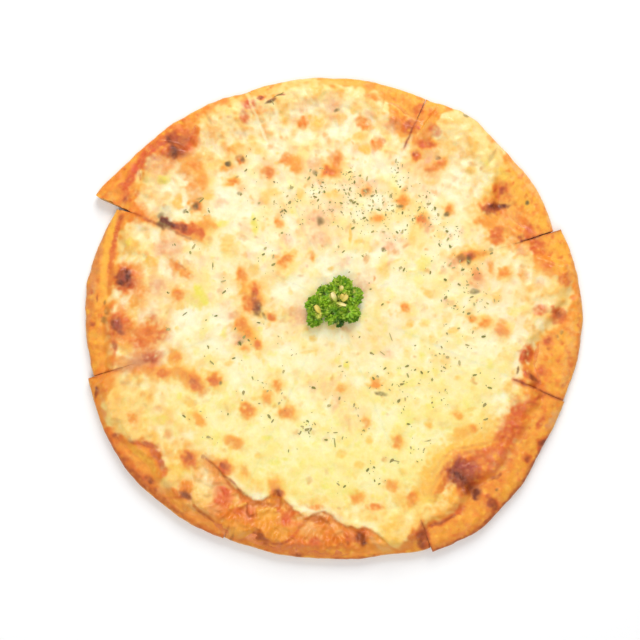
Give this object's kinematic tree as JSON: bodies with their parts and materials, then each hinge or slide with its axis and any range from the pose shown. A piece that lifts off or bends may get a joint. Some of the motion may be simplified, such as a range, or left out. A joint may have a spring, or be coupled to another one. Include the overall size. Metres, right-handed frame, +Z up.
{
  "type": "cheese pizza",
  "caption": "Round thin-crust cheese pizza cut into wedge slices, with toasted melted cheese, dried herb flakes and a sprig of curly parsley on top.",
  "frame": {"origin": "middle of the footprint, on the flat underside of the crust", "axes": "+Z up out of the cheese; -Y is the side nearest the viewer of the picture, +X is to the right"},
  "size_m": [0.304, 0.2938, 0.0223],
  "materials": {
    "baked_crust": "baked bread, golden orange with darker toasted places, matte",
    "tomato_sauce": "cooked tomato sauce, orange red, slightly glossy",
    "melted_cheese": "melted mozzarella, cream to pale yellow with orange and brown toasted spots, soft oily sheen",
    "parsley_leaf": "fresh curly parsley, bright green with paler stems"
  },
  "bodies": {
    "root": {"slice_1_crust": "baked_crust", "slice_2_crust": "baked_crust", "slice_3_crust": "baked_crust", "slice_4_crust": "baked_crust", "slice_5_crust": "baked_crust", "slice_6_crust": "baked_crust", "slice_7_crust": "baked_crust", "slice_8_crust": "baked_crust", "slice_1_sauce": "tomato_sauce", "slice_2_sauce": "tomato_sauce", "slice_3_sauce": "tomato_sauce", "slice_4_sauce": "tomato_sauce", "slice_5_sauce": "tomato_sauce", "slice_6_sauce": "tomato_sauce", "slice_7_sauce": "tomato_sauce", "slice_8_sauce": "tomato_sauce", "slice_1_cheese": "melted_cheese", "slice_2_cheese": "melted_cheese", "slice_3_cheese": "melted_cheese", "slice_4_cheese": "melted_cheese", "slice_5_cheese": "melted_cheese", "slice_6_cheese": "melted_cheese", "slice_7_cheese": "melted_cheese", "slice_8_cheese": "melted_cheese", "parsley_sprig": "parsley_leaf"}
  },
  "joints": []
}
